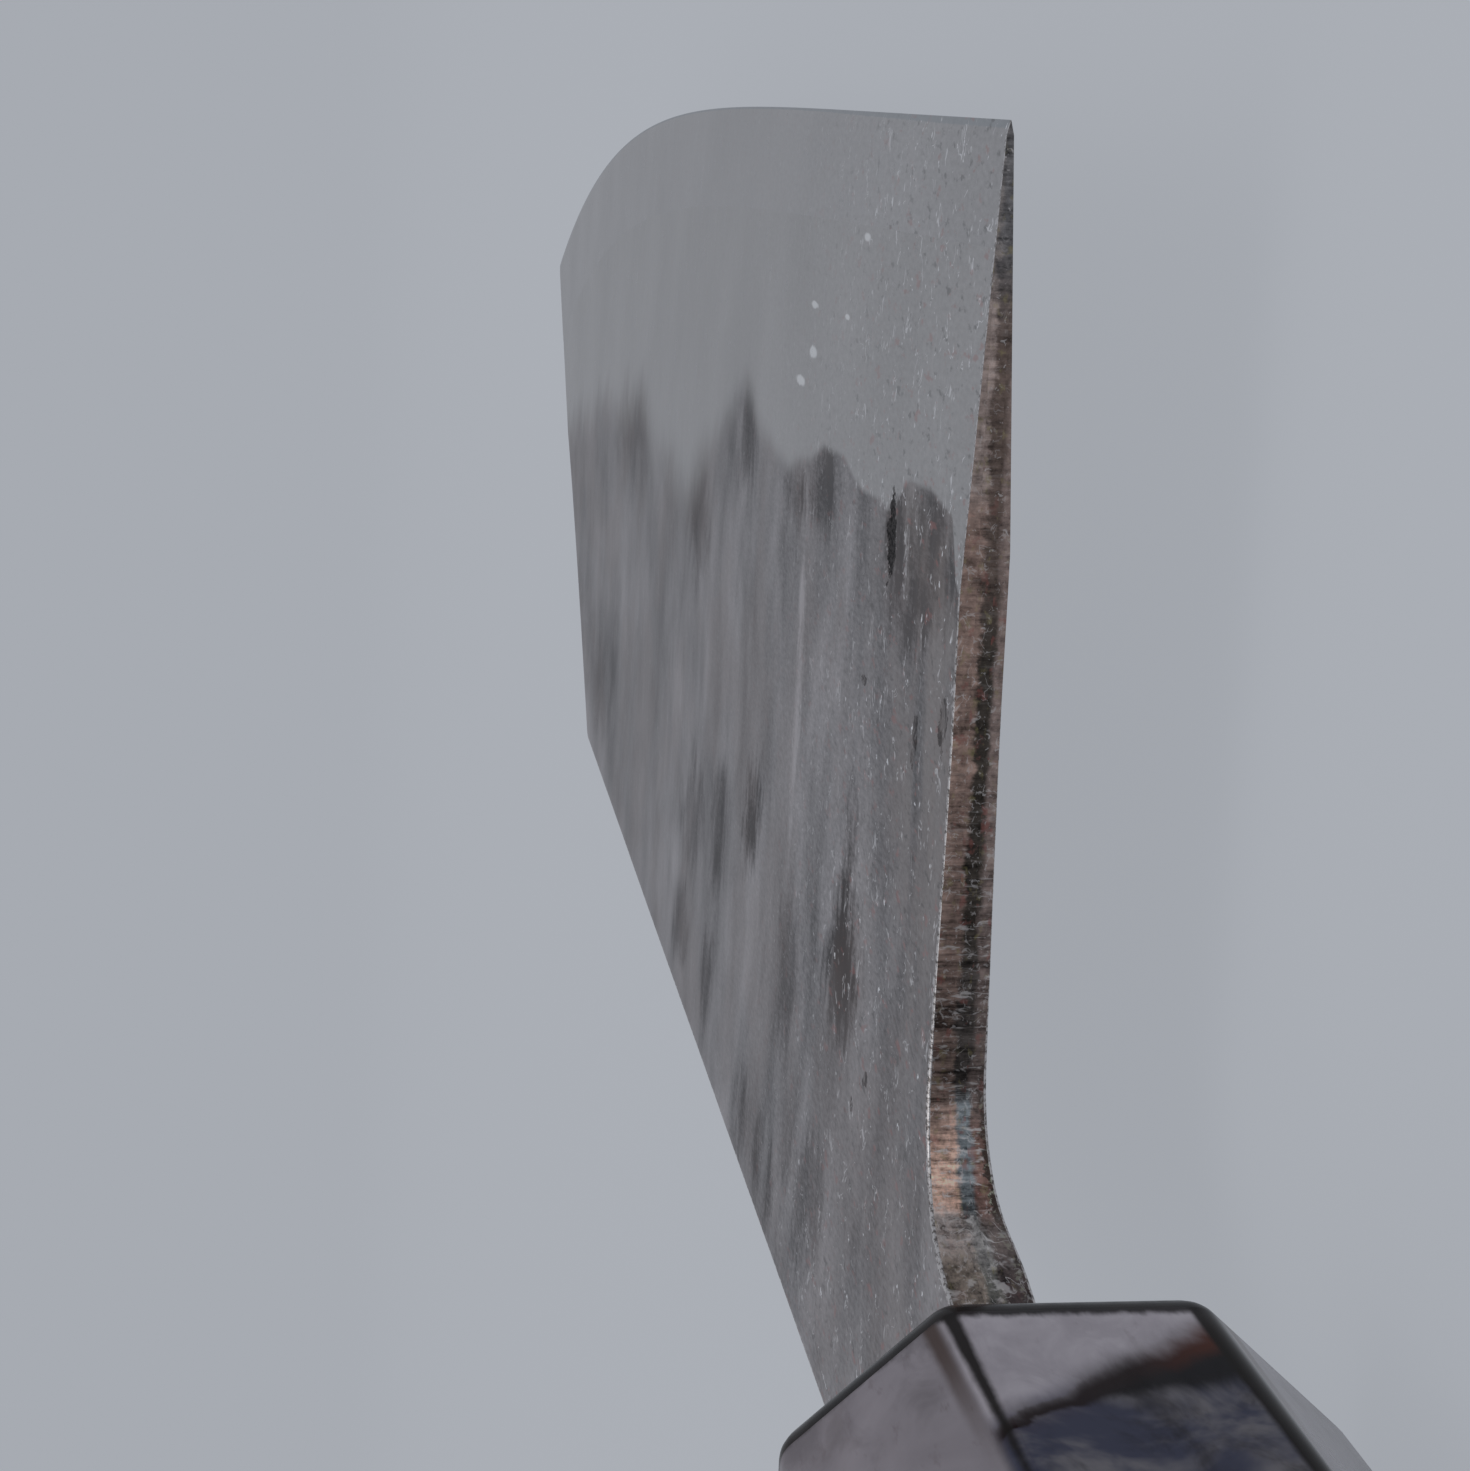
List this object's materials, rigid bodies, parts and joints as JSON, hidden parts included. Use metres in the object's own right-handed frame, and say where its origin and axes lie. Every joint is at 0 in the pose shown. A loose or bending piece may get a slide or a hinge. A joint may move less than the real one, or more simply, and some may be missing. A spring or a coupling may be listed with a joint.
{
  "type": "bunka knife",
  "caption": "Kitchen knife with a tall clipped-point laminated steel blade, a short neck and an octagonal wooden handle with a dark ferrule, for slicing and chopping.",
  "frame": {"origin": "middle of the handle's lower side facet, half way along the handle", "axes": "+X from the butt to the point, cutting edge towards -Y, the pictured face of the blade up (+Z)"},
  "size_m": [0.3206, 0.0552, 0.0179],
  "materials": {
    "core_steel": "satin ground steel, darker and finer than the cladding on the end face",
    "iron_cladding": "soft iron, brushed from edge to spine, with a smoother, paler bevel",
    "horn": "polished black horn with brown streaks",
    "grip_wood": "oiled dark wood, grain along the handle",
    "dowel_wood": "bare hardwood",
    "adhesive": "cured resin",
    "seal_wax": "dark filler"
  },
  "bodies": {
    "root": {"core_steel": "core_steel", "cladding_front": "iron_cladding", "cladding_back": "iron_cladding", "ferrule": "horn", "handle_body": "grip_wood", "tang_dowel": "dowel_wood", "tang_bedding": "adhesive", "mouth_seal": "seal_wax"}
  },
  "joints": []
}
